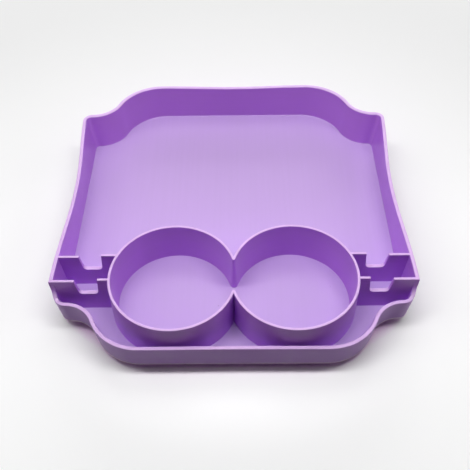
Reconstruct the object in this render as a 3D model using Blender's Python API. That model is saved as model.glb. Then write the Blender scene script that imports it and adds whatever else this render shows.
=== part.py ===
"""Beach bag tray: one thin-walled plastic moulding with a flat floor, waisted sides, ogee shoulders,
two round cup wells that open into each other, notched dividers beside them and a lip that drops into the bag.

Every moulded feature is its own closed body. Lengths are in metres, +Z is up, and the tray stands on z = 0.
The layout is drawn from the cup line, which joins the two cup centres; +Y runs to the high rear wall.
The parent empty then puts the middle of the whole tray on the origin.
"""
import math
from collections import namedtuple

import bmesh
import bpy

# Heights
LIP_DEPTH = 0.0105
FLOOR_THICKNESS = 0.003
CUP_DEPTH = 0.0315
RIM_DROP = 0.0015
LOW_WALL_HEIGHT = 0.0161
SKIRT_DEPTH = 0.0039

# Cup wells
CUP_RADIUS = 0.043
CUP_WALL = 0.00185
CUP_OVERLAP = 0.001
CUP_INNER_DRAFT = 0.051
CUP_OUTER_DRAFT = 0.024
CUP_RIM_ROUND = 0.0004

# Plan of the floor
SIDE_BAY = 0.03485
REAR_REACH = 0.207
REAR_CORNER_RADIUS = 0.0038
FRONT_CORNER_RADIUS = 0.0050
SEAM = 0.0003

# Outer walls
WALL_THICKNESS = 0.0028
REAR_RIM_THICKNESS = 0.0034
WALL_LEAN = 0.078
WALL_RIM_ROUND = 0.0006
SIDE_FLARE = 0.0018
SIDE_BOW = 0.0049
SIDE_BOW_CENTRE = 0.087
SIDE_BOW_HALF_LENGTH = 0.092
REAR_BOW = 0.0017
FRONT_BOW = 0.0005
END_BOW_HALF_LENGTH = 0.062
END_FACE_SLANT = 0.0008
END_FILLET = 0.0075
REAR_SEAM_SETBACK = 0.0022

# Shoulders: a convex arc and a concave arc that meet at the steepest point of an S, then a short ledge
REAR_FOOT_LEDGE = 0.0033
REAR_FOOT_CONVEX = 0.0381
REAR_FOOT_CONCAVE = 0.0246
REAR_FOOT_ANGLE = math.radians(69.5)
REAR_RIM_LEDGE = 0.0006
REAR_RIM_CONVEX = 0.0368
REAR_RIM_CONCAVE = 0.0259
REAR_RIM_ANGLE = math.radians(67.8)
FRONT_LEDGE = 0.0046
FRONT_LEDGE_SETBACK = 0.01044
FRONT_CONCAVE = 0.0253
FRONT_ANGLE = math.radians(66.3)

# Dividers between the cups and the side walls
DIVIDER_THICKNESS = 0.00185
DIVIDER_DRAFT = 0.038
DIVIDER_RIM_ROUND = 0.0003
FRONT_DIVIDER_SETBACK = 0.0035
SLOT_WIDTH = 0.0194
NOTCH_LAND = 0.0069
NOTCH_WIDTH = 0.0162
NOTCH_DEPTH = 0.0149
NOTCH_CUP_SLOPE = 0.065
NOTCH_WALL_SLOPE = 0.1
NOTCH_ROUND = 0.002

# Underside
SKIRT_THICKNESS = 0.0026
SKIRT_EDGE_ROUND = 0.0013
LIP_THICKNESS = 0.0024
LIP_INSET = 0.010
LIP_EDGE_ROUND = 0.0005

# Facets
RING_STEPS = 88
NOSE_STEPS = 3
STRAIGHT_STEPS = 6
CONVEX_STEPS = 12
CONCAVE_STEPS = 8
CORNER_STEPS = 4
SIDE_STEPS = 14
FILLET_STEPS = 6
ROUND_STEPS = 2
SMOOTH_ANGLE = math.radians(32)

# Finish
LAVENDER = (0.50, 0.29, 0.74, 1.0)
ROUGHNESS = 0.42

# Sizes that follow from the ones above
FLOOR_BOTTOM = LIP_DEPTH
FLOOR_TOP = FLOOR_BOTTOM + FLOOR_THICKNESS
CUP_TOP = FLOOR_TOP + CUP_DEPTH
WALL_TOP = CUP_TOP - RIM_DROP
LOW_TOP = FLOOR_TOP + LOW_WALL_HEIGHT
CUP_OFFSET = CUP_RADIUS - CUP_OVERLAP
CUP_FOOT_RADIUS = CUP_RADIUS + CUP_WALL + CUP_OUTER_DRAFT * CUP_DEPTH
FRONT_REACH = CUP_FOOT_RADIUS + SEAM
HALF_WIDTH = CUP_OFFSET + CUP_FOOT_RADIUS + SIDE_BAY
RIM_LEAN = WALL_LEAN * (WALL_TOP - FLOOR_TOP)
FRONT_DIVIDER_Y = -FRONT_DIVIDER_SETBACK
REAR_DIVIDER_Y = FRONT_DIVIDER_Y + DIVIDER_THICKNESS + SLOT_WIDTH
FRONT_CONVEX = (FRONT_REACH - FRONT_LEDGE_SETBACK) / (1 - math.cos(FRONT_ANGLE)) - FRONT_CONCAVE
Ogee = namedtuple("Ogee", "ledge convex concave angle corner")
REAR_FOOT_OGEE = Ogee(REAR_FOOT_LEDGE, REAR_FOOT_CONVEX, REAR_FOOT_CONCAVE, REAR_FOOT_ANGLE, REAR_CORNER_RADIUS)
REAR_RIM_OGEE = Ogee(REAR_RIM_LEDGE, REAR_RIM_CONVEX, REAR_RIM_CONCAVE, REAR_RIM_ANGLE, REAR_CORNER_RADIUS)
FRONT_OGEE = Ogee(FRONT_LEDGE, FRONT_CONVEX, FRONT_CONCAVE, FRONT_ANGLE, FRONT_CORNER_RADIUS)


def ogee_step(ogee):
    """How far the S carries the outline towards the cup line."""
    return (ogee.convex + ogee.concave) * (1 - math.cos(ogee.angle))


END_FACE_Y = FRONT_DIVIDER_Y - DIVIDER_THICKNESS / 2
END_FILLET_Y = END_FACE_Y - END_FACE_SLANT - END_FILLET
REAR_STEP_Y = REAR_REACH - ogee_step(REAR_FOOT_OGEE)
REAR_SEAM_Y = REAR_STEP_Y - REAR_CORNER_RADIUS - REAR_SEAM_SETBACK
FRONT_SEAM_Y = FRONT_CORNER_RADIUS + SEAM - FRONT_LEDGE_SETBACK


def raised_cosine(share):
    """One at the middle of a bow, falling smoothly to zero at its ends."""
    return (1 + math.cos(math.pi * share)) / 2 if abs(share) < 1 else 0.0


def blend(start, end, share):
    return start + (end - start) * share


def mirrored(points, side):
    """Points of the right half, carried to the left when side is -1."""
    return [(side * point[0], *point[1:]) for point in points]


def round_corner(before, corner, after):
    """Points from before to after along the circular arc that fits inside a square corner."""
    turned = []
    for step in range(CORNER_STEPS + 1):
        share = step / CORNER_STEPS
        weights = ((1 - share) ** 2, math.sqrt(2) * share * (1 - share), share ** 2)
        total = sum(weights)
        turned.append(tuple(sum(w * p[axis] for w, p in zip(weights, (before, corner, after))) / total
                            for axis in (0, 1)))
    return turned


def shoulder(ogee, reach, corner_x, offset=0.0, bow=0.0):
    """Half of an end wall in plan, from the middle of the tray round the shoulder and its corner.

    y is the distance from the cup line. The offset moves the whole line outwards.
    """
    span = (ogee.convex + ogee.concave) * math.sin(ogee.angle)
    end_x = HALF_WIDTH - ogee.ledge
    start_x = end_x - span
    level = reach + offset
    convex = ogee.convex + offset
    concave = ogee.concave - offset
    ledge_y = level - ogee_step(ogee)
    turn = ogee.corner + max(offset, 0.0)
    turn_x = corner_x - turn

    def concave_angle(x):
        return math.asin(max(0.0, end_x - x) / concave)

    def concave_point(angle):
        return (end_x - concave * math.sin(angle), ledge_y + concave * (1 - math.cos(angle)))

    points = []
    for step in range(STRAIGHT_STEPS):
        x = start_x * step / STRAIGHT_STEPS
        points.append((x, level - bow * raised_cosine(x / END_BOW_HALF_LENGTH)))
    for step in range(CONVEX_STEPS + 1):
        angle = ogee.angle * step / CONVEX_STEPS
        points.append((start_x + convex * math.sin(angle), level - convex * (1 - math.cos(angle))))
    for step in range(1, CONCAVE_STEPS + 1):
        points.append(concave_point(blend(ogee.angle, concave_angle(turn_x), step / CONCAVE_STEPS)))
    corner_y = concave_point(concave_angle(corner_x))[1]
    turn_y = concave_point(concave_angle(turn_x))[1]
    points += round_corner((turn_x, turn_y), (corner_x, corner_y), (corner_x, corner_y - turn))
    return points


def side_rim_x(y):
    """Inner edge of the side wall's rim: it flares to the rear and bows in along its middle."""
    flare = SIDE_FLARE * min(1.0, max(0.0, y / REAR_STEP_Y))
    bow = SIDE_BOW * raised_cosine((y - SIDE_BOW_CENTRE) / SIDE_BOW_HALF_LENGTH)
    return HALF_WIDTH + RIM_LEAN + flare - bow


def side_inner_x(y, z):
    """Inner face of the side wall."""
    return blend(HALF_WIDTH, side_rim_x(y), (z - FLOOR_TOP) / (WALL_TOP - FLOOR_TOP))


def wall_top(y):
    """Top of the outer wall: high beside the tray, low beside and in front of the cups."""
    if y >= END_FACE_Y:
        return WALL_TOP
    if y >= END_FACE_Y - END_FACE_SLANT:
        return blend(WALL_TOP, LOW_TOP + END_FILLET, (END_FACE_Y - y) / END_FACE_SLANT)
    reach = max(0.0, y - END_FILLET_Y)
    return LOW_TOP + END_FILLET - math.sqrt(END_FILLET ** 2 - min(reach, END_FILLET) ** 2)


def section(face_a, face_b, base, top, round_a, round_b):
    """Cross-section of an upright wall: up face a, over the rounded top and down face b.

    Each face is a function that gives its plan point at a height.
    """
    a, b = face_a(top), face_b(top)
    width = math.dist(a, b)
    across = ((b[0] - a[0]) / width, (b[1] - a[1]) / width)
    upwards = 1 if top > base else -1

    def over(face, radius, direction):
        turned = []
        for step in range(ROUND_STEPS + 1):
            angle = math.pi / 2 * step / ROUND_STEPS
            z = top - upwards * radius * (1 - math.sin(angle))
            inset = direction * radius * (1 - math.cos(angle))
            x, y = face(z)
            turned.append((x + across[0] * inset, y + across[1] * inset, z))
        return turned

    up = [(*face_a(base), base)] + over(face_a, round_a, 1)
    down = [(*face_b(base), base)] + over(face_b, round_b, -1)
    return up + down[::-1]


def straight_face(foot, head, foot_z, head_z):
    """A face that runs straight from a plan point at foot_z to another at head_z."""
    def at(z):
        share = (z - foot_z) / (head_z - foot_z)
        return (blend(foot[0], head[0], share), blend(foot[1], head[1], share))
    return at


def wall_section(foot_in, foot_out, head_in, head_out, top):
    inner = straight_face(foot_in, head_in, FLOOR_TOP, WALL_TOP)
    outer = straight_face(foot_out, head_out, FLOOR_TOP, WALL_TOP)
    return section(inner, outer, FLOOR_TOP, top, WALL_RIM_ROUND, WALL_RIM_ROUND)


def side_section(y):
    """Cross-section of the right side wall."""
    foot_x, head_x = HALF_WIDTH, side_rim_x(y)
    return wall_section((foot_x, y), (foot_x + WALL_THICKNESS, y), (head_x, y), (head_x + WALL_THICKNESS, y),
                        wall_top(y))


def rear_sections():
    """Right half of the rear wall, from the middle to the seam with the side wall."""
    rim_reach = REAR_REACH + RIM_LEAN
    corner_x = side_rim_x(rim_reach - ogee_step(REAR_RIM_OGEE) - REAR_CORNER_RADIUS)
    lines = [shoulder(REAR_FOOT_OGEE, REAR_REACH, HALF_WIDTH + offset, offset) for offset in (0, WALL_THICKNESS)]
    lines.append(shoulder(REAR_RIM_OGEE, rim_reach, corner_x, 0.0, REAR_BOW))
    lines.append(shoulder(REAR_RIM_OGEE, rim_reach, corner_x + WALL_THICKNESS, REAR_RIM_THICKNESS, REAR_BOW))
    ribs = [wall_section(*points, WALL_TOP) for points in zip(*lines)]
    return ribs + [side_section(REAR_SEAM_Y)]


def front_sections():
    """Right half of the low front wall, from the middle to the seam with the side wall."""
    lines = []
    for lean, bow in ((0, 0.0), (RIM_LEAN, FRONT_BOW)):
        for offset in (lean, lean + WALL_THICKNESS):
            line = shoulder(FRONT_OGEE, FRONT_REACH, HALF_WIDTH + offset, offset, bow)
            lines.append([(x, -y) for x, y in line])
    ribs = [wall_section(*points, wall_top(points[1][1])) for points in zip(*lines)]
    return ribs + [side_section(FRONT_SEAM_Y)]


def floor_outline(offset):
    """The whole outline of the floor, moved outwards by the offset, as a closed ring of plan points."""
    rear = shoulder(REAR_FOOT_OGEE, REAR_REACH, HALF_WIDTH + offset, offset)
    front = [(x, -y) for x, y in shoulder(FRONT_OGEE, FRONT_REACH, HALF_WIDTH + offset, offset)]
    right = rear + front[::-1]
    return right + mirrored(right[1:-1], -1)[::-1]


def new_material(name):
    material = bpy.data.materials.new(name + "_plastic")
    material.use_nodes = True
    shader = material.node_tree.nodes["Principled BSDF"]
    shader.inputs["Base Color"].default_value = LAVENDER
    shader.inputs["Roughness"].default_value = ROUGHNESS
    shader.inputs["Metallic"].default_value = 0.0
    return material


def new_object(name, form, parent):
    """One named object from a closed bmesh."""
    bmesh.ops.recalc_face_normals(form, faces=form.faces)
    mesh = bpy.data.meshes.new(name)
    form.to_mesh(mesh)
    form.free()
    mesh.shade_smooth()
    mesh.set_sharp_from_angle(angle=SMOOTH_ANGLE)
    mesh.materials.append(new_material(name))
    piece = bpy.data.objects.new(name, mesh)
    bpy.context.collection.objects.link(piece)
    piece.parent = parent
    return piece


def loft(name, ribs, parent, closed=False):
    """A body skinned over cross-sections that have equal counts of points."""
    form = bmesh.new()
    rings = [[form.verts.new(point) for point in rib] for rib in ribs]
    pairs = list(zip(rings, rings[1:]))
    if closed:
        pairs.append((rings[-1], rings[0]))
    for here, there in pairs:
        for index in range(len(here)):
            after = (index + 1) % len(here)
            form.faces.new((here[index], here[after], there[after], there[index]))
    if not closed:
        form.faces.new(rings[0])
        form.faces.new(rings[-1])
    return new_object(name, form, parent)


def make_floor(parent):
    """The flat floor, whose edge carries on the lean of the walls."""
    form = bmesh.new()
    rings = []
    for z in (FLOOR_BOTTOM, FLOOR_TOP):
        offset = WALL_THICKNESS - WALL_LEAN * (FLOOR_TOP - z)
        rings.append([form.verts.new((x, y, z)) for x, y in floor_outline(offset)])
    low, high = rings
    for index in range(len(low)):
        after = (index + 1) % len(low)
        form.faces.new((low[index], low[after], high[after], high[index]))
    form.faces.new(low)
    form.faces.new(high)
    return new_object("floor_plate", form, parent)


def make_rear_wall(parent):
    right = rear_sections()
    left = [mirrored(rib, -1) for rib in right[1:]]
    return loft("rear_wall", left[::-1] + right, parent)


def make_front_wall(parent):
    right = front_sections()
    left = [mirrored(rib, -1) for rib in right[1:]]
    return loft("front_wall", left[::-1] + right, parent)


def make_side_wall(name, side, parent):
    """A high side wall with its end face, which sweeps down to the low wall."""
    stations = [blend(REAR_SEAM_Y, END_FACE_Y, step / SIDE_STEPS) for step in range(SIDE_STEPS + 1)]
    for step in range(FILLET_STEPS):
        y = END_FILLET_Y + END_FILLET * math.cos(math.pi / 2 * step / FILLET_STEPS)
        if y > FRONT_SEAM_Y + SEAM:
            stations.append(y)
    stations.append(FRONT_SEAM_Y)
    return loft(name, [mirrored(side_section(y), side) for y in stations], parent)


def cup_inner_radius(z):
    return CUP_RADIUS - CUP_INNER_DRAFT * (CUP_TOP - z)


def cup_outer_radius(z):
    return CUP_RADIUS + CUP_WALL + CUP_OUTER_DRAFT * (CUP_TOP - z)


def cup_faces(share):
    """Both faces of the right cup ring, part of the way round from the rear V to the front V."""
    def on_circle(radius, z):
        start = math.acos(CUP_OFFSET / cup_outer_radius(z))
        angle = math.pi - blend(start, 2 * math.pi - start, share)
        return (CUP_OFFSET + radius * math.cos(angle), radius * math.sin(angle))

    return (lambda z: on_circle(cup_inner_radius(z), z)), (lambda z: on_circle(cup_outer_radius(z), z))


def nose_faces(share, front):
    """Both faces of the nose where the two rings meet: the cup face, and the joint face on the middle plane.

    The nose is as thick as the ring wall and ends in a rounded tip.
    """
    def tip_y(z):
        half_nose = (cup_outer_radius(z) - cup_inner_radius(z)) / 2
        return math.sqrt(cup_inner_radius(z) ** 2 - (CUP_OFFSET - half_nose) ** 2)

    def height(z):
        joint = math.sqrt(cup_outer_radius(z) ** 2 - CUP_OFFSET ** 2)
        return blend(joint, tip_y(z), share)

    def cup_face(z):
        radius = cup_inner_radius(z)
        start = math.acos(CUP_OFFSET / cup_outer_radius(z))
        end = math.asin(tip_y(z) / radius)
        angle = blend(start, end, share)
        tip_share = 1 - 0.5 * share ** 6
        return ((CUP_OFFSET - radius * math.cos(angle)) * tip_share, front * radius * math.sin(angle))

    return cup_face, (lambda z: (0.0, front * height(z)))


def make_cup_ring(name, side, parent):
    """One cup well's wall: a tapered ring, open at the throat between the two rings' noses."""
    rounds = (CUP_RIM_ROUND, CUP_RIM_ROUND)
    ribs = []
    for step in range(NOSE_STEPS, 0, -1):
        ribs.append(section(*nose_faces(step / NOSE_STEPS, 1), FLOOR_TOP, CUP_TOP, CUP_RIM_ROUND / 2, 0.0))
    for step in range(RING_STEPS + 1):
        ribs.append(section(*cup_faces(step / RING_STEPS), FLOOR_TOP, CUP_TOP, *rounds))
    for step in range(1, NOSE_STEPS + 1):
        ribs.append(section(*nose_faces(step / NOSE_STEPS, -1), FLOOR_TOP, CUP_TOP, CUP_RIM_ROUND / 2, 0.0))
    return loft(name, [mirrored(rib, side) for rib in ribs], parent)


def divider_tops():
    """Stations along a divider, with its height there: a land, the notch, then the lower land by the wall."""
    near = CUP_OFFSET + CUP_RADIUS + CUP_WALL + NOTCH_LAND
    far = near + NOTCH_WIDTH
    bottom = CUP_TOP - NOTCH_DEPTH
    near_foot = near + NOTCH_CUP_SLOPE * NOTCH_DEPTH
    far_foot = far - NOTCH_WALL_SLOPE * (NOTCH_DEPTH - RIM_DROP)
    turn = (1 - math.cos(math.pi / 4)) * NOTCH_ROUND
    return [(near, CUP_TOP),
            (near_foot - NOTCH_CUP_SLOPE * NOTCH_ROUND, bottom + NOTCH_ROUND),
            (near_foot + turn, bottom + turn),
            (near_foot + NOTCH_ROUND, bottom),
            (far_foot - NOTCH_ROUND, bottom),
            (far_foot - turn, bottom + turn),
            (far_foot + NOTCH_WALL_SLOPE * NOTCH_ROUND, bottom + NOTCH_ROUND),
            (far, WALL_TOP)]


def make_divider(name, side, middle_y, parent):
    """A notched divider, cut to the cup ring at one end and to the side wall at the other."""
    def face_y(direction, z):
        return middle_y + direction * (DIVIDER_THICKNESS / 2 + DIVIDER_DRAFT * (CUP_TOP - z))

    def cup_end(direction):
        def at(z):
            y = face_y(direction, z)
            return (CUP_OFFSET + math.sqrt(cup_outer_radius(z) ** 2 - y ** 2) + SEAM, y)
        return at

    def wall_end(direction):
        def at(z):
            y = face_y(direction, z)
            return (side_inner_x(y, z) - SEAM, y)
        return at

    def between(x, direction):
        return lambda z: (x, face_y(direction, z))

    rounds = (DIVIDER_RIM_ROUND, DIVIDER_RIM_ROUND)
    ribs = [section(cup_end(-1), cup_end(1), FLOOR_TOP, CUP_TOP, *rounds)]
    for x, top in divider_tops():
        ribs.append(section(between(x, -1), between(x, 1), FLOOR_TOP, top, *rounds))
    ribs.append(section(wall_end(-1), wall_end(1), FLOOR_TOP, WALL_TOP, *rounds))
    return loft(name, [mirrored(rib, side) for rib in ribs], parent)


def make_hanging_lip(name, depth, outer_offset, thickness, lean, rounds, parent):
    """A closed lip that hangs from the underside of the floor along its outline."""
    bottom = FLOOR_BOTTOM - depth
    lines = [floor_outline(outer_offset - thickness), floor_outline(outer_offset),
             floor_outline(outer_offset - thickness + lean * depth), floor_outline(outer_offset - lean * depth)]
    ribs = []
    for inner_foot, outer_foot, inner_tip, outer_tip in zip(*lines):
        inner = straight_face(inner_foot, inner_tip, FLOOR_BOTTOM, bottom)
        outer = straight_face(outer_foot, outer_tip, FLOOR_BOTTOM, bottom)
        ribs.append(section(inner, outer, FLOOR_BOTTOM, bottom, *rounds))
    return loft(name, ribs, parent, closed=True)


def make_underside(parent):
    """The skirt under the outer walls, and the deeper lip that drops inside the mouth of the bag."""
    edge = WALL_THICKNESS - WALL_LEAN * FLOOR_THICKNESS
    make_hanging_lip("base_skirt", SKIRT_DEPTH, edge, SKIRT_THICKNESS, WALL_LEAN,
                     (LIP_EDGE_ROUND, SKIRT_EDGE_ROUND), parent)
    make_hanging_lip("locating_lip", LIP_DEPTH, edge - LIP_INSET, LIP_THICKNESS, DIVIDER_DRAFT,
                     (LIP_EDGE_ROUND, LIP_EDGE_ROUND), parent)


def centre_on_origin(parent):
    """Moves the tray so that the middle of its length lies on the origin."""
    depths = [vertex.co.y for piece in parent.children for vertex in piece.data.vertices]
    parent.location.y = -(min(depths) + max(depths)) / 2


def main():
    for old in list(bpy.data.objects):
        bpy.data.objects.remove(old, do_unlink=True)
    tray = bpy.data.objects.new("tray", None)
    bpy.context.collection.objects.link(tray)
    make_floor(tray)
    make_rear_wall(tray)
    make_front_wall(tray)
    for prefix, side in (("left", -1), ("right", 1)):
        make_side_wall(prefix + "_side_wall", side, tray)
        make_cup_ring(prefix + "_cup_ring", side, tray)
        make_divider(prefix + "_rear_divider", side, REAR_DIVIDER_Y, tray)
        make_divider(prefix + "_front_divider", side, FRONT_DIVIDER_Y, tray)
    make_underside(tray)
    centre_on_origin(tray)
    bpy.context.view_layer.update()
    for piece in tray.children:
        print(piece.name, len(piece.data.vertices), "vertices")
    print("cup line at y =", round(tray.location.y, 6))


main()
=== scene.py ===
"""Looks of the beach bag tray: a satin lavender moulding on a white table, in soft studio light.

Each solid is replaced by a finer body of the same shape. Rims are rounded, and the insides of the outer
walls and both sides of the cup rings have small fillets at their feet.
Lengths are in metres. Plan points are drawn from the cup line, which joins the two cup centres.
"""

import math
from collections import namedtuple

import bmesh
import bpy
from mathutils import Matrix, Vector


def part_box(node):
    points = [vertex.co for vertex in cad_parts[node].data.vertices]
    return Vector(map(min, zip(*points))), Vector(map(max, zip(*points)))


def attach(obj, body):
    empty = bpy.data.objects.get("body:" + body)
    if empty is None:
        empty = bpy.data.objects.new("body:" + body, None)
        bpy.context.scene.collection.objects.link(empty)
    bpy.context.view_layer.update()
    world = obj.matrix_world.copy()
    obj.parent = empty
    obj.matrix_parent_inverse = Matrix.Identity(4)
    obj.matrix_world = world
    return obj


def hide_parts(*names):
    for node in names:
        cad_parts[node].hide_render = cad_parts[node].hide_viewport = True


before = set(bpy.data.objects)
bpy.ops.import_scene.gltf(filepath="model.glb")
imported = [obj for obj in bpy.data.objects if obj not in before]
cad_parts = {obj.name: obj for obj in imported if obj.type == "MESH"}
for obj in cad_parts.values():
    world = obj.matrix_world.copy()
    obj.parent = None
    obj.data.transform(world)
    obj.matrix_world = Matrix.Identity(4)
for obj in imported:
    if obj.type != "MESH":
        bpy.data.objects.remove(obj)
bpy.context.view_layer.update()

# Places that come from the frame. The dividers are counted from the cup line
floor_low, floor_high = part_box("floor_plate")
ring_low, ring_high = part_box("right_cup_ring")
front_low, front_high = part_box("right_front_divider")
rear_low, rear_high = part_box("right_rear_divider")
FLOOR_BOTTOM = floor_low.z
FLOOR_TOP = floor_high.z
CUP_TOP = ring_high.z
WALL_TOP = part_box("rear_wall")[1].z
SKIRT_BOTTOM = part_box("base_skirt")[0].z
LIP_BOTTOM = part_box("locating_lip")[0].z
CUP_LINE_Y = (ring_low.y + ring_high.y) / 2
FRONT_DIVIDER_Y = (front_low.y + front_high.y) / 2 - CUP_LINE_Y
REAR_DIVIDER_Y = (rear_low.y + rear_high.y) / 2 - CUP_LINE_Y

# Cup wells
CUP_RADIUS = 0.043
CUP_WALL = 0.00185
CUP_OFFSET = 0.042
CUP_INNER_DRAFT = 0.051
CUP_OUTER_DRAFT = 0.024
CUP_RIM_ROUND = 0.00045
NOSE_TIP_SHIFT = 0.5
NOSE_TIP_POWER = 6

# Outer walls. At their foot, their outer faces lie on the edge of the floor
WALL_THICKNESS = 0.0028
HALF_WIDTH = floor_high.x - WALL_THICKNESS
REAR_REACH = floor_high.y - CUP_LINE_Y - WALL_THICKNESS
FRONT_REACH = CUP_LINE_Y - floor_low.y - WALL_THICKNESS
LOW_WALL_HEIGHT = 0.0161
LOW_TOP = FLOOR_TOP + LOW_WALL_HEIGHT
REAR_CORNER_RADIUS = 0.0038
FRONT_CORNER_RADIUS = 0.0050
REAR_RIM_THICKNESS = 0.0034
WALL_LEAN = 0.078
WALL_RIM_ROUND = 0.0007
RIM_LEAN = WALL_LEAN * (WALL_TOP - FLOOR_TOP)
SIDE_FLARE = 0.0018
SIDE_BOW = 0.0049
SIDE_BOW_CENTRE = 0.087
SIDE_BOW_HALF_LENGTH = 0.092
REAR_BOW = 0.0017
FRONT_BOW = 0.0005
END_BOW_HALF_LENGTH = 0.062
END_FACE_SLANT = 0.0008
END_FILLET = 0.0075
REAR_SEAM_SETBACK = 0.0022
FRONT_SEAM_GAP = 0.0003

# Shoulders: a convex arc, a concave arc and a short ledge
Ogee = namedtuple("Ogee", "ledge convex concave angle corner")
REAR_FOOT_OGEE = Ogee(0.0033, 0.0381, 0.0246, math.radians(69.5), REAR_CORNER_RADIUS)
REAR_RIM_OGEE = Ogee(0.0006, 0.0368, 0.0259, math.radians(67.8), REAR_CORNER_RADIUS)
FRONT_LEDGE_SETBACK = 0.01044
FRONT_CONCAVE = 0.0253
FRONT_ANGLE = math.radians(66.3)
FRONT_CONVEX = (FRONT_REACH - FRONT_LEDGE_SETBACK) / (1 - math.cos(FRONT_ANGLE)) - FRONT_CONCAVE
FRONT_OGEE = Ogee(0.0046, FRONT_CONVEX, FRONT_CONCAVE, FRONT_ANGLE, FRONT_CORNER_RADIUS)

# Dividers
DIVIDER_THICKNESS = 0.00185
DIVIDER_DRAFT = 0.038
DIVIDER_ROUND = 0.00035
NOTCH_LAND = 0.0069
NOTCH_WIDTH = 0.0162
NOTCH_DEPTH = 0.0149
NOTCH_CUP_SLOPE = 0.065
NOTCH_WALL_SLOPE = 0.1
NOTCH_ROUND = 0.0032

# Underside
SKIRT_THICKNESS = 0.0026
SKIRT_EDGE_ROUND = 0.0006
LIP_THICKNESS = 0.0024
LIP_INSET = 0.010
LIP_EDGE_ROUND = 0.0005

# How bodies join: fillets at the foot, how far one is sunk into another, how far a top is tucked
FOOT_FILLET = 0.0006
SUNK = 0.0003
WALL_SUNK = SUNK * 3
TUCK = 0.00004

# Fineness: where a face has points, how many steps a stretch has, and which angles count as edges
FACE_STOPS = (0.0, 0.03, 0.5, 0.97)
RING_STEPS = 240
NOSE_STEPS = 10
STRAIGHT_STEPS = 20
CONVEX_STEPS = 36
CONCAVE_STEPS = 26
CORNER_STEPS = 10
SIDE_STEPS = 70
FILLET_STEPS = 18
ROUND_STEPS = 5
FOOT_STEPS = 3
NOTCH_STEPS = 8
BEVEL_SEGMENTS = 3
BEVEL_ANGLE = math.radians(50)
SMOOTH_ANGLE = math.radians(30)

# Colours of the plastic, and between which slopes or heights one passes into the next. Upright faces are
# painted deeper as shaded and level faces paler as lit, and the rims and the skirt's lower edge carry
# painted highlights
# Painted light and shade: one plastic, with a deeper colour on upright faces as shaded and a paler colour
# on level faces as lit
SHADED_WALL_COLOUR = (0.545, 0.223, 0.795, 1.0)
LIT_LEVEL_COLOUR = (0.585, 0.396, 0.776, 1.0)
LEVEL_START = 0.2
LEVEL_END = 0.8
# Painted highlight: level faces high above the floor, on the rims, are painted paler where light catches
# them
RIM_HIGHLIGHT_COLOUR = (0.75, 0.49, 0.88, 1.0)
RIM_HIGHLIGHT_START = FLOOR_TOP + 0.004
RIM_HIGHLIGHT_END = FLOOR_TOP + 0.008
# Painted highlight: a pale band along the skirt's lower edge, and on the lip below it
EDGE_HIGHLIGHT_COLOUR = (0.92, 0.64, 0.97, 1.0)
EDGE_HIGHLIGHT_START = SKIRT_BOTTOM + 0.0023
EDGE_HIGHLIGHT_END = SKIRT_BOTTOM + 0.0018

# Fine variation of the plastic: clouds, flow lines, marks on the cup floors, gloss and grain
NOISE_LOW = 0.3
NOISE_HIGH = 0.7
CLOUD = 0.015
CLOUD_SCALE = 9.0
CLOUD_DETAIL = 3.0
FLOW = 0.008
FLOW_SCALE = 1.0
FLOW_DETAIL = 2.0
FLOOR_FLOW = (420.0, 9.0, 60.0)
WALL_FLOW = (9.0, 9.0, 520.0)
Mark = namedtuple("Mark", "place radius shade")
MARKS = (
    Mark((-0.0455, 0.0160), 0.0007, 0.95),
    Mark((-0.0441, 0.0163), 0.0005, 0.96),
    Mark((-0.0113, -0.0048), 0.0007, 0.80),
    Mark((0.0710, 0.0112), 0.0006, 0.88),
)
SPECULAR = 0.4
ROUGHNESS = 0.32
ROUGHNESS_SWING = 0.04
ROUGHNESS_SCALE = 70.0
ROUGHNESS_DETAIL = 4.0
GRAIN_SCALE = 2600.0
GRAIN_DETAIL = 2.0
GRAIN_STRENGTH = 0.25
GRAIN_HEIGHT = 0.00006

# Table: what the tray gets back from it, its painted pool of light by distance, and the painted violet
# shade in narrow gaps
TABLE_HALF_WIDTH = 6.0
TABLE_ROUGHNESS = 0.7
TABLE_BOUNCE = (0.30, 0.30, 0.30, 1.0)
TABLE_GLOSS = (0.90, 0.90, 0.90, 1.0)
# Painted pool of light: the table's tone seen by the camera, brightest in front of the tray and falling off
# with distance
POOL_OF_LIGHT_TONES = ((0.0, 1.28), (0.06, 1.04), (0.21, 0.94), (0.42, 0.83), (0.50, 0.79))
NEAR_PLACE = (0.0, -0.13, 0.0)
NEAR_STRETCH = (0.5, 1.0, 1.0)
# Painted shade: a violet tint that darkens the table in narrow gaps under the tray
GAP_SHADE_TINT = (0.93, 0.58, 0.97, 1.0)
GAP_REACH = 0.025
GAP_SAMPLES = 8
GAP_START = 0.35
GAP_END = 0.60

# Backdrop, and how the table passes into it
WHITE = (1.0, 1.0, 1.0, 1.0)
FAR_WHITE = 0.86
FAR_START = 0.27
FAR_END = 0.50
HORIZON_START = 0.35
HORIZON_END = 0.15

# Camera, as solved from the photograph's cup rims. Lens and sensor are in millimetres
CAMERA_FROM_CUPS = Vector((0.0037, -0.2591, 0.3525))
CAMERA_PITCH = math.radians(50.14)
CAMERA_YAW = math.radians(-0.52)
CAMERA_ROLL = math.radians(0.87)
LENS = 48.62
SENSOR = 36.0
NEAR_CLIP = 0.01

# Lamps, each turned to the tray. A strength is that of a sun which gives the tray as much light
Lamp = namedtuple("Lamp", "name place width height strength")
LAMPS = (
    Lamp("overhead_strip", (0.0, -0.0925, 1.0), 1.125, 0.094, 2.22),
    Lamp("rear_panel", (0.0, 1.54, 0.44), 1.8, 0.6, 2.0),
    Lamp("rear_softbox", (0.0, 0.75, 1.41), 0.8, 0.6, 0.45),
    Lamp("left_panel", (-1.09, 0.0, 1.17), 1.4, 0.6, 0.5),
    Lamp("right_panel", (1.31, 0.0, 0.92), 1.4, 0.6, 0.4),
)


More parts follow.
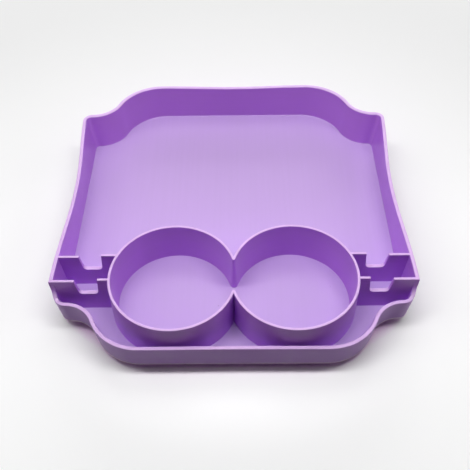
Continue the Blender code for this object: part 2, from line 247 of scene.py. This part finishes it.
def ogee_step(ogee):
    """How far the S carries the outline towards the cup line."""
    return (ogee.convex + ogee.concave) * (1 - math.cos(ogee.angle))


END_FACE_Y = FRONT_DIVIDER_Y - DIVIDER_THICKNESS / 2
END_FILLET_Y = END_FACE_Y - END_FACE_SLANT - END_FILLET
REAR_STEP_Y = REAR_REACH - ogee_step(REAR_FOOT_OGEE)
REAR_SEAM_Y = REAR_STEP_Y - REAR_CORNER_RADIUS - REAR_SEAM_SETBACK
FRONT_SEAM_Y = ogee_step(FRONT_OGEE) - FRONT_REACH + FRONT_CORNER_RADIUS + FRONT_SEAM_GAP


def raised_cosine(share):
    """One at the middle of a bow, falling smoothly to zero at its ends."""
    return (1 + math.cos(math.pi * share)) / 2 if abs(share) < 1 else 0.0


def blend(start, end, share):
    return start + (end - start) * share


def mirrored(points, side):
    return [(side * point[0], *point[1:]) for point in points]


def round_corner(before, corner, after):
    """Points from before to after along the circular arc that fits inside a square corner."""
    turned = []
    for step in range(CORNER_STEPS + 1):
        share = step / CORNER_STEPS
        weights = ((1 - share) ** 2, math.sqrt(2) * share * (1 - share), share ** 2)
        total = sum(weights)
        turned.append(tuple(sum(w * p[axis] for w, p in zip(weights, (before, corner, after))) / total
                            for axis in (0, 1)))
    return turned


def shoulder(ogee, reach, corner_x, offset=0.0, bow=0.0):
    """Half of an end wall in plan, from the middle of the tray round the shoulder and its corner."""
    span = (ogee.convex + ogee.concave) * math.sin(ogee.angle)
    end_x = HALF_WIDTH - ogee.ledge
    start_x = end_x - span
    level = reach + offset
    convex = ogee.convex + offset
    concave = ogee.concave - offset
    ledge_y = level - ogee_step(ogee)
    turn = ogee.corner + max(offset, 0.0)
    turn_x = corner_x - turn

    def concave_angle(x):
        return math.asin(max(0.0, end_x - x) / concave)

    def concave_point(angle):
        return (end_x - concave * math.sin(angle), ledge_y + concave * (1 - math.cos(angle)))

    points = []
    for step in range(STRAIGHT_STEPS):
        x = start_x * step / STRAIGHT_STEPS
        points.append((x, level - bow * raised_cosine(x / END_BOW_HALF_LENGTH)))
    for step in range(CONVEX_STEPS + 1):
        angle = ogee.angle * step / CONVEX_STEPS
        points.append((start_x + convex * math.sin(angle), level - convex * (1 - math.cos(angle))))
    for step in range(1, CONCAVE_STEPS + 1):
        points.append(concave_point(blend(ogee.angle, concave_angle(turn_x), step / CONCAVE_STEPS)))
    corner_y = concave_point(concave_angle(corner_x))[1]
    turn_y = concave_point(concave_angle(turn_x))[1]
    points += round_corner((turn_x, turn_y), (corner_x, corner_y), (corner_x, corner_y - turn))
    return points


def side_rim_x(y):
    """Inner edge of the side wall's rim: it flares to the rear and bows in along its middle."""
    flare = SIDE_FLARE * min(1.0, max(0.0, y / REAR_STEP_Y))
    bow = SIDE_BOW * raised_cosine((y - SIDE_BOW_CENTRE) / SIDE_BOW_HALF_LENGTH)
    return HALF_WIDTH + RIM_LEAN + flare - bow


def wall_top(y):
    """Top of the outer wall: high as far forward as the front dividers, and low in front of them."""
    if y >= END_FACE_Y:
        return WALL_TOP
    if y >= END_FACE_Y - END_FACE_SLANT:
        return blend(WALL_TOP, LOW_TOP + END_FILLET, (END_FACE_Y - y) / END_FACE_SLANT)
    reach = max(0.0, y - END_FILLET_Y)
    return LOW_TOP + END_FILLET - math.sqrt(END_FILLET ** 2 - min(reach, END_FILLET) ** 2)


def section(face_a, face_b, base, top, round_a, round_b, fillet_a=0.0, fillet_b=0.0):
    """Cross-section of an upright wall: up face a, over the rounded top and down face b.

    Each face is a function that gives its plan point at a height. A fillet flares the foot of its face.
    """
    a, b = face_a(top), face_b(top)
    width = math.dist(a, b)
    across = ((b[0] - a[0]) / width, (b[1] - a[1]) / width)
    upwards = 1 if top > base else -1

    def over(face, radius, fillet, direction):
        turned = []
        foot = base + upwards * fillet
        for step in range(FOOT_STEPS if fillet else 0):
            angle = math.pi / 2 * step / FOOT_STEPS
            flare = -direction * fillet * (1 - math.sin(angle))
            z = foot - upwards * fillet * math.cos(angle)
            x, y = face(z)
            turned.append((x + across[0] * flare, y + across[1] * flare, z))
        shoulder_z = top - upwards * radius
        for share in FACE_STOPS:
            z = blend(foot, shoulder_z, share)
            turned.append((*face(z), z))
        for step in range(ROUND_STEPS + 1):
            angle = math.pi / 2 * step / ROUND_STEPS
            z = shoulder_z + upwards * radius * math.sin(angle)
            inset = direction * radius * (1 - math.cos(angle))
            x, y = face(z)
            turned.append((x + across[0] * inset, y + across[1] * inset, z))
        return turned

    return over(face_a, round_a, fillet_a, 1) + over(face_b, round_b, fillet_b, -1)[::-1]


def straight_face(foot, head, foot_z, head_z):
    """A face that runs straight from a plan point at foot_z to another at head_z."""
    def at(z):
        share = (z - foot_z) / (head_z - foot_z)
        return (blend(foot[0], head[0], share), blend(foot[1], head[1], share))
    return at


def wall_section(foot_in, foot_out, head_in, head_out, top):
    """Cross-section of an outer wall from the plan points of its faces at the floor and at full height."""
    inner = straight_face(foot_in, head_in, FLOOR_TOP, WALL_TOP)
    outer = straight_face(foot_out, head_out, FLOOR_TOP, WALL_TOP)
    return section(inner, outer, FLOOR_TOP, top, WALL_RIM_ROUND, WALL_RIM_ROUND, FOOT_FILLET)


def side_section(y):
    """Cross-section of the right side wall."""
    edges = [(x + offset, y) for x in (HALF_WIDTH, side_rim_x(y)) for offset in (0, WALL_THICKNESS)]
    return wall_section(*edges, wall_top(y))


def rear_sections():
    """Right half of the rear wall, from the middle to the seam with the side wall."""
    rim_reach = REAR_REACH + RIM_LEAN
    corner_x = side_rim_x(rim_reach - ogee_step(REAR_RIM_OGEE) - REAR_CORNER_RADIUS)
    outer_corner_x = corner_x + WALL_THICKNESS
    lines = [shoulder(REAR_FOOT_OGEE, REAR_REACH, HALF_WIDTH + offset, offset)
             for offset in (0, WALL_THICKNESS)]
    lines.append(shoulder(REAR_RIM_OGEE, rim_reach, corner_x, 0.0, REAR_BOW))
    lines.append(shoulder(REAR_RIM_OGEE, rim_reach, outer_corner_x, REAR_RIM_THICKNESS, REAR_BOW))
    ribs = [wall_section(*points, WALL_TOP) for points in zip(*lines)]
    return ribs + [side_section(REAR_SEAM_Y)]


def front_sections():
    """Right half of the low front wall, from the middle to the seam with the side wall."""
    lines = []
    for lean, bow in ((0, 0.0), (RIM_LEAN, FRONT_BOW)):
        for offset in (lean, lean + WALL_THICKNESS):
            line = shoulder(FRONT_OGEE, FRONT_REACH, HALF_WIDTH + offset, offset, bow)
            lines.append([(x, -y) for x, y in line])
    ribs = [wall_section(*points, wall_top(points[1][1])) for points in zip(*lines)]
    return ribs + [side_section(FRONT_SEAM_Y)]


def floor_outline(offset):
    """The whole outline of the floor, moved outwards by the offset, as a closed ring of plan points."""
    rear = shoulder(REAR_FOOT_OGEE, REAR_REACH, HALF_WIDTH + offset, offset)
    front = [(x, -y) for x, y in shoulder(FRONT_OGEE, FRONT_REACH, HALF_WIDTH + offset, offset)]
    right = rear + front[::-1]
    return right + mirrored(right[1:-1], -1)[::-1]


def cup_inner_radius(z):
    return CUP_RADIUS - CUP_INNER_DRAFT * (CUP_TOP - z)


def cup_outer_radius(z):
    return CUP_RADIUS + CUP_WALL + CUP_OUTER_DRAFT * (CUP_TOP - z)


def cup_faces(share):
    """Both faces of the right cup ring, part of the way round from the rear V to the front V."""
    def on_circle(radius, z):
        start = math.acos(CUP_OFFSET / cup_outer_radius(z))
        angle = math.pi - blend(start, 2 * math.pi - start, share)
        return (CUP_OFFSET + radius * math.cos(angle), radius * math.sin(angle))

    return (lambda z: on_circle(cup_inner_radius(z), z)), (lambda z: on_circle(cup_outer_radius(z), z))


def nose_faces(share, front):
    """Both faces of the nose where the rings meet: the cup face, and the joint face on the middle plane."""
    def tip_y(z):
        half_nose = (cup_outer_radius(z) - cup_inner_radius(z)) / 2
        return math.sqrt(cup_inner_radius(z) ** 2 - (CUP_OFFSET - half_nose) ** 2)

    def height(z):
        joint = math.sqrt(cup_outer_radius(z) ** 2 - CUP_OFFSET ** 2)
        return blend(joint, tip_y(z), share)

    def cup_face(z):
        radius = cup_inner_radius(z)
        start = math.acos(CUP_OFFSET / cup_outer_radius(z))
        end = math.asin(tip_y(z) / radius)
        angle = blend(start, end, share)
        tip_share = 1 - NOSE_TIP_SHIFT * share ** NOSE_TIP_POWER
        return ((CUP_OFFSET - radius * math.cos(angle)) * tip_share, front * radius * math.sin(angle))

    return cup_face, (lambda z: (0.0, front * height(z)))


def new_piece(name, form, node, material):
    """A finished piece that stands for a CAD node and rides on the tray."""
    bmesh.ops.recalc_face_normals(form, faces=form.faces)
    mesh = bpy.data.meshes.new(name)
    form.to_mesh(mesh)
    form.free()
    mesh.transform(Matrix.Translation((0, CUP_LINE_Y, 0)))
    mesh.shade_smooth()
    mesh.set_sharp_from_angle(angle=SMOOTH_ANGLE)
    mesh.materials.append(material)
    piece = bpy.data.objects.new(name, mesh)
    bpy.context.scene.collection.objects.link(piece)
    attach(piece, "root")
    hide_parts(node)
    return piece


def loft(name, ribs, node, material, closed=False):
    """A body skinned over cross-sections that have equal counts of points."""
    form = bmesh.new()
    rings = [[form.verts.new(point) for point in rib] for rib in ribs]
    pairs = list(zip(rings, rings[1:]))
    if closed:
        pairs.append((rings[-1], rings[0]))
    for here, there in pairs:
        for index in range(len(here)):
            after = (index + 1) % len(here)
            form.faces.new((here[index], here[after], there[after], there[index]))
    if not closed:
        form.faces.new(rings[0])
        form.faces.new(rings[-1])
    return new_piece(name, form, node, material)


def make_floor(material):
    """The flat floor, as wide at each height as the leaning outer walls that stand on its edge."""
    form = bmesh.new()
    rings = []
    for z in (FLOOR_BOTTOM, FLOOR_TOP):
        offset = WALL_THICKNESS - WALL_LEAN * (FLOOR_TOP - z)
        rings.append([form.verts.new((x, y, z)) for x, y in floor_outline(offset)])
    low, high = rings
    for index in range(len(low)):
        after = (index + 1) % len(low)
        form.faces.new((low[index], low[after], high[after], high[index]))
    form.faces.new(low)
    form.faces.new(high)
    return new_piece("moulded_floor", form, "floor_plate", material)


def make_end_wall(name, ribs, node, material):
    """A rear or front wall, from its right half and the mirror image of it."""
    left = [mirrored(rib, -1) for rib in ribs[1:]]
    return loft(name, left[::-1] + ribs, node, material)


def make_side_wall(name, side, node, material):
    """A side wall with its swept end face, from the rear seam to the front seam."""
    stations = [blend(REAR_SEAM_Y, END_FACE_Y, step / SIDE_STEPS) for step in range(SIDE_STEPS + 1)]
    for step in range(FILLET_STEPS):
        y = END_FILLET_Y + END_FILLET * math.cos(math.pi / 2 * step / FILLET_STEPS)
        if y > FRONT_SEAM_Y + FRONT_SEAM_GAP:
            stations.append(y)
    stations.append(FRONT_SEAM_Y)
    return loft(name, [mirrored(side_section(y), side) for y in stations], node, material)


def make_cup_ring(name, side, node, material):
    """A cup ring, with half of the nose on each side of the throat."""
    def rib(faces, outer_round):
        rounds = (CUP_RIM_ROUND, outer_round, FOOT_FILLET, FOOT_FILLET)
        return section(*faces, FLOOR_TOP - SUNK, CUP_TOP, *rounds)

    shares = [step / NOSE_STEPS for step in range(1, NOSE_STEPS + 1)]
    ribs = [rib(nose_faces(share, 1), 0.0) for share in shares[::-1]]
    ribs += [rib(cup_faces(step / RING_STEPS), CUP_RIM_ROUND) for step in range(RING_STEPS + 1)]
    ribs += [rib(nose_faces(share, -1), 0.0) for share in shares]
    return loft(name, [mirrored(points, side) for points in ribs], node, material)


def notch_profile():
    """The divider's top edge from cup ring to side wall, as (x, z) points with round notch corners."""
    near = CUP_OFFSET + CUP_RADIUS + CUP_WALL + NOTCH_LAND
    far = near + NOTCH_WIDTH
    bottom = CUP_TOP - NOTCH_DEPTH
    near_foot = near + NOTCH_CUP_SLOPE * NOTCH_DEPTH
    far_foot = far - NOTCH_WALL_SLOPE * (WALL_TOP - bottom)
    points = [(near, CUP_TOP - TUCK)]
    for foot, side in ((near_foot, 1), (far_foot, -1)):
        turned = []
        for step in range(NOTCH_STEPS + 1):
            angle = math.pi / 2 * step / NOTCH_STEPS
            x = foot + side * NOTCH_ROUND * (1 - math.cos(angle))
            turned.append((x, bottom + NOTCH_ROUND * (1 - math.sin(angle))))
        points += turned if side > 0 else turned[::-1]
    return points + [(far, WALL_TOP - TUCK)]


def make_divider(name, side, middle_y, node, material):
    """A notched divider, sunk into the cup ring, the side wall and the floor that it is moulded with."""
    def face_y(direction, z):
        return middle_y + direction * (DIVIDER_THICKNESS / 2 + DIVIDER_DRAFT * (CUP_TOP - z))

    reach_y = abs(middle_y) + DIVIDER_THICKNESS / 2
    cup_x = CUP_OFFSET + math.sqrt((CUP_RADIUS + CUP_WALL) ** 2 - reach_y ** 2) - SUNK
    wall_x = side_rim_x(middle_y) + WALL_SUNK
    foot = FLOOR_TOP - SUNK
    profile = [(cup_x, foot), (cup_x, CUP_TOP - TUCK)] + notch_profile()
    profile += [(wall_x, WALL_TOP - TUCK), (HALF_WIDTH + WALL_SUNK, foot)]
    form = bmesh.new()
    faces = []
    for direction in (-1, 1):
        faces.append([form.verts.new((side * x, face_y(direction, z), z)) for x, z in profile])
    for index in range(len(profile)):
        after = (index + 1) % len(profile)
        form.faces.new((faces[0][index], faces[0][after], faces[1][after], faces[1][index]))
    form.faces.new(faces[0])
    form.faces.new(faces[1])
    piece = new_piece(name, form, node, material)
    edge = piece.modifiers.new("rounded_edges", "BEVEL")
    edge.width = DIVIDER_ROUND
    edge.segments = BEVEL_SEGMENTS
    edge.limit_method = "ANGLE"
    edge.angle_limit = BEVEL_ANGLE
    return piece


def make_hanging_lip(name, bottom, outer_offset, thickness, lean, rounds, node, material):
    """A closed lip that hangs from the floor's underside along its outline. Rounds are inner and outer."""
    inner_offset = outer_offset - thickness
    inset = lean * (FLOOR_BOTTOM - bottom)
    offsets = (inner_offset, outer_offset, inner_offset + inset, outer_offset - inset)
    lines = [floor_outline(offset) for offset in offsets]
    ribs = []
    for inner_foot, outer_foot, inner_tip, outer_tip in zip(*lines):
        inner = straight_face(inner_foot, inner_tip, FLOOR_BOTTOM, bottom)
        outer = straight_face(outer_foot, outer_tip, FLOOR_BOTTOM, bottom)
        ribs.append(section(inner, outer, FLOOR_BOTTOM, bottom, *rounds))
    return loft(name, ribs, node, material, closed=True)


class Graph:
    """A node tree, with short forms for the nodes that its users share."""

    def __init__(self, tree):
        self.tree = tree

    def fill(self, node, socket, source):
        """Puts a link or a plain value into a socket."""
        if isinstance(source, bpy.types.NodeSocket):
            self.tree.links.new(source, node.inputs[socket])
        else:
            node.inputs[socket].default_value = source

    def add(self, kind, *sources, **settings):
        """A new node, from its settings and the source of each socket."""
        node = self.tree.nodes.new(kind)
        for name, value in settings.items():
            setattr(node, name, value)
        for socket, source in sources:
            self.fill(node, socket, source)
        return node

    def math(self, operation, first, second):
        return self.add("ShaderNodeMath", (0, first), (1, second), operation=operation).outputs["Value"]

    def distance(self, first, second):
        node = self.add("ShaderNodeVectorMath", (0, first), (1, second), operation="DISTANCE")
        return node.outputs["Value"]

    def scaled(self, vector, factor):
        node = self.add("ShaderNodeVectorMath", (0, vector), ("Scale", factor), operation="SCALE")
        return node.outputs["Vector"]

    def upwards(self, vector):
        return self.add("ShaderNodeSeparateXYZ", ("Vector", vector)).outputs["Z"]

    def mix(self, factor, first, second, data_type="RGBA", **settings):
        node = self.add("ShaderNodeMix", ("Factor", factor), ("A", first), ("B", second),
                        data_type=data_type, **settings)
        return node.outputs["Result"]

    def span(self, value, start, end, low=0.0, high=1.0, **settings):
        """Low where the value is at the start, high where it is at the end, and held beyond them."""
        node = self.add("ShaderNodeMapRange", ("Value", value), ("From Min", start), ("From Max", end),
                        ("To Min", low), ("To Max", high), **settings)
        return node.outputs["Result"]

    def smooth_span(self, value, start, end):
        return self.span(value, start, end, interpolation_type="SMOOTHSTEP")


def satin_plastic():
    """Lavender moulded plastic with a fine satin grain, flow lines and a little cloudiness. Its colour
    carries painted light: level faces paler as lit, upright faces deeper as shaded, and painted highlights
    on the rims and along the skirt's lower edge.
    """
    material = bpy.data.materials.new("satin_lavender_plastic")
    material.use_nodes = True
    graph = Graph(material.node_tree)
    shader = material.node_tree.nodes["Principled BSDF"]
    place = graph.add("ShaderNodeTexCoord").outputs["Object"]
    normal = graph.add("ShaderNodeNewGeometry").outputs["Normal"]
    height = graph.upwards(place)
    level = graph.smooth_span(graph.upwards(normal), LEVEL_START, LEVEL_END)

    def noise(scale, detail, stretch=(1.0, 1.0, 1.0)):
        mapping = graph.add("ShaderNodeMapping", ("Vector", place), ("Scale", stretch))
        texture = graph.add("ShaderNodeTexNoise", ("Vector", mapping.outputs["Vector"]), ("Scale", scale),
                            ("Detail", detail))
        return texture.outputs["Fac"]

    def swing(texture, middle, reach):
        return graph.span(texture, NOISE_LOW, NOISE_HIGH, middle - reach, middle + reach)

    # Painted light and shade: level faces take the paler lit colour, upright faces the deeper shaded colour
    plain = graph.mix(level, SHADED_WALL_COLOUR, LIT_LEVEL_COLOUR)
    # Painted highlight on the rims: high level faces turn to the paler rim colour
    rim_highlight = graph.math("MULTIPLY", graph.span(height, RIM_HIGHLIGHT_START, RIM_HIGHLIGHT_END), level)
    highlighted_rims = graph.mix(rim_highlight, plain, RIM_HIGHLIGHT_COLOUR)
    # Painted highlight: everything below the skirt's lower edge turns to the pale edge colour
    highlighted_edge = graph.mix(graph.span(height, EDGE_HIGHLIGHT_START, EDGE_HIGHLIGHT_END), highlighted_rims, EDGE_HIGHLIGHT_COLOUR)
    clouds = swing(noise(CLOUD_SCALE, CLOUD_DETAIL), 1.0, CLOUD)
    wall_lines = swing(noise(FLOW_SCALE, FLOW_DETAIL, WALL_FLOW), 1.0, FLOW)
    floor_lines = swing(noise(FLOW_SCALE, FLOW_DETAIL, FLOOR_FLOW), 1.0, FLOW)
    tone = graph.math("MULTIPLY", clouds, graph.mix(level, wall_lines, floor_lines, "FLOAT"))
    for mark in MARKS:
        away = graph.distance(place, (mark.place[0], mark.place[1] + CUP_LINE_Y, FLOOR_TOP))
        shade = graph.span(away, mark.radius / 2, mark.radius, mark.shade, 1.0)
        tone = graph.math("MULTIPLY", tone, shade)
    bump = graph.add("ShaderNodeBump", ("Height", noise(GRAIN_SCALE, GRAIN_DETAIL)),
                     ("Strength", GRAIN_STRENGTH), ("Distance", GRAIN_HEIGHT))
    roughness = swing(noise(ROUGHNESS_SCALE, ROUGHNESS_DETAIL), ROUGHNESS, ROUGHNESS_SWING)
    graph.fill(shader, "Base Color", graph.scaled(highlighted_edge, tone))
    graph.fill(shader, "Roughness", roughness)
    graph.fill(shader, "Normal", bump.outputs["Normal"])
    graph.fill(shader, "Specular IOR Level", SPECULAR)
    return material


def painted_light_pool(graph, position):
    """The table's painted pool of light: its tone by distance from the near place."""
    squeezed = graph.add("ShaderNodeVectorMath", (0, position), (1, NEAR_STRETCH), operation="MULTIPLY")
    away = graph.distance(squeezed.outputs["Vector"], NEAR_PLACE)
    reach, brightest = POOL_OF_LIGHT_TONES[-1][0], POOL_OF_LIGHT_TONES[0][1]
    ramp = graph.add("ShaderNodeValToRGB", ("Fac", graph.math("DIVIDE", away, reach)))
    stops = ramp.color_ramp.elements
    stops.remove(stops[1])
    for index, (distance, tone) in enumerate(POOL_OF_LIGHT_TONES):
        stop = stops.new(distance / reach) if index else stops[0]
        stop.color = (*[tone / brightest] * 3, 1.0)
    return graph.scaled(ramp.outputs["Color"], brightest)


def white_table():
    """White, with a painted pool of light round the tray and painted violet shade in narrow gaps, both seen
    by the camera only. Far from the tray it passes into the backdrop's white.
    """
    material = bpy.data.materials.new("white_table")
    material.use_nodes = True
    graph = Graph(material.node_tree)
    nodes = material.node_tree.nodes
    shader = nodes["Principled BSDF"]
    ray = graph.add("ShaderNodeLightPath").outputs
    position = graph.add("ShaderNodeNewGeometry").outputs["Position"]
    gap = graph.add("ShaderNodeAmbientOcclusion", ("Distance", GAP_REACH), samples=GAP_SAMPLES)
    # Painted violet shade where the table is hemmed in under the tray
    gap_shade = graph.mix(graph.smooth_span(gap.outputs["AO"], GAP_START, GAP_END), GAP_SHADE_TINT, WHITE)
    shown = graph.mix(1.0, painted_light_pool(graph, position), gap_shade, blend_type="MULTIPLY")
    unseen = graph.mix(ray["Is Glossy Ray"], TABLE_BOUNCE, TABLE_GLOSS)
    graph.fill(shader, "Base Color", graph.mix(ray["Is Camera Ray"], unseen, shown))
    graph.fill(shader, "Roughness", TABLE_ROUGHNESS)
    seen = graph.math("MAXIMUM", ray["Is Camera Ray"], ray["Is Glossy Ray"])
    seen = graph.math("MAXIMUM", seen, ray["Is Transmission Ray"])
    from_middle = graph.add("ShaderNodeVectorMath", (0, position), operation="LENGTH").outputs["Value"]
    far = graph.math("MULTIPLY", graph.smooth_span(from_middle, FAR_START, FAR_END), seen)
    white = graph.add("ShaderNodeEmission", ("Color", WHITE), ("Strength", FAR_WHITE))
    surface = graph.add("ShaderNodeMixShader", (0, far), (1, shader.outputs["BSDF"]),
                        (2, white.outputs["Emission"]))
    graph.fill(nodes["Material Output"], "Surface", surface.outputs["Shader"])
    return material


def make_table():
    """The table top, at the height of the lip's lower end."""
    form = bmesh.new()
    bmesh.ops.create_grid(form, x_segments=1, y_segments=1, size=TABLE_HALF_WIDTH)
    mesh = bpy.data.meshes.new("table_top")
    form.to_mesh(mesh)
    form.free()
    mesh.materials.append(white_table())
    table = bpy.data.objects.new("table_top", mesh)
    table.location.z = LIP_BOTTOM
    bpy.context.scene.collection.objects.link(table)


def make_backdrop():
    """White to the camera, and to reflections near the horizon. It sheds no light on the tray."""
    world = bpy.data.worlds.new("studio")
    world.use_nodes = True
    graph = Graph(world.node_tree)
    background = world.node_tree.nodes["Background"]
    ray = graph.add("ShaderNodeLightPath").outputs
    rise = graph.upwards(graph.add("ShaderNodeTexCoord").outputs["Generated"])
    mirrored_ray = graph.math("MAXIMUM", ray["Is Glossy Ray"], ray["Is Transmission Ray"])
    low = graph.math("MULTIPLY", mirrored_ray, graph.span(rise, HORIZON_START, HORIZON_END))
    seen = graph.math("MAXIMUM", ray["Is Camera Ray"], low)
    graph.fill(background, "Color", WHITE)
    graph.fill(background, "Strength", graph.math("MULTIPLY", seen, FAR_WHITE))
    bpy.context.scene.world = world


def make_light():
    """Soft panels round a strip overhead."""
    for lamp in LAMPS:
        place = Vector(lamp.place)
        data = bpy.data.lights.new(lamp.name, "AREA")
        data.shape = "RECTANGLE"
        data.size, data.size_y = lamp.width, lamp.height
        data.energy = math.pi * place.length_squared * lamp.strength
        piece = bpy.data.objects.new(lamp.name, data)
        piece.location = place
        piece.rotation_euler = place.to_track_quat("Z", "Y").to_euler()
        bpy.context.scene.collection.objects.link(piece)


def make_camera():
    """The photograph's camera, placed by its pitch, yaw and roll."""
    pitch, yaw, roll = CAMERA_PITCH, CAMERA_YAW, CAMERA_ROLL
    forward = Vector((math.sin(yaw) * math.cos(pitch), math.cos(yaw) * math.cos(pitch), -math.sin(pitch)))
    level_right = Vector((math.cos(yaw), -math.sin(yaw), 0.0))
    level_down = forward.cross(level_right)
    right = level_right * math.cos(roll) + level_down * math.sin(roll)
    down = level_down * math.cos(roll) - level_right * math.sin(roll)
    data = bpy.data.cameras.new("camera")
    data.sensor_width = SENSOR
    data.lens = LENS
    data.clip_start = NEAR_CLIP
    camera = bpy.data.objects.new("camera", data)
    place = Matrix((right, -down, -forward)).transposed().to_4x4()
    place.translation = CAMERA_FROM_CUPS + Vector((0, CUP_LINE_Y, CUP_TOP))
    camera.matrix_world = place
    bpy.context.scene.collection.objects.link(camera)
    bpy.context.scene.camera = camera


plastic = satin_plastic()
make_floor(plastic)
make_end_wall("moulded_rear_wall", rear_sections(), "rear_wall", plastic)
make_end_wall("moulded_front_wall", front_sections(), "front_wall", plastic)
for prefix, side in (("left", -1), ("right", 1)):
    make_side_wall(f"moulded_{prefix}_side", side, f"{prefix}_side_wall", plastic)
    make_cup_ring(f"moulded_{prefix}_cup", side, f"{prefix}_cup_ring", plastic)
    for end, middle_y in (("rear", REAR_DIVIDER_Y), ("front", FRONT_DIVIDER_Y)):
        make_divider(f"moulded_{prefix}_{end}_divider", side, middle_y, f"{prefix}_{end}_divider", plastic)
edge_offset = WALL_THICKNESS - WALL_LEAN * (FLOOR_TOP - FLOOR_BOTTOM)
make_hanging_lip("moulded_skirt", SKIRT_BOTTOM, edge_offset, SKIRT_THICKNESS, WALL_LEAN,
                 (LIP_EDGE_ROUND, SKIRT_EDGE_ROUND), "base_skirt", plastic)
make_hanging_lip("moulded_lip", LIP_BOTTOM, edge_offset - LIP_INSET, LIP_THICKNESS, DIVIDER_DRAFT,
                 (LIP_EDGE_ROUND, LIP_EDGE_ROUND), "locating_lip", plastic)
make_table()
make_backdrop()
make_light()
make_camera()
bpy.context.scene.view_settings.view_transform = "Standard"
bpy.context.view_layer.update()
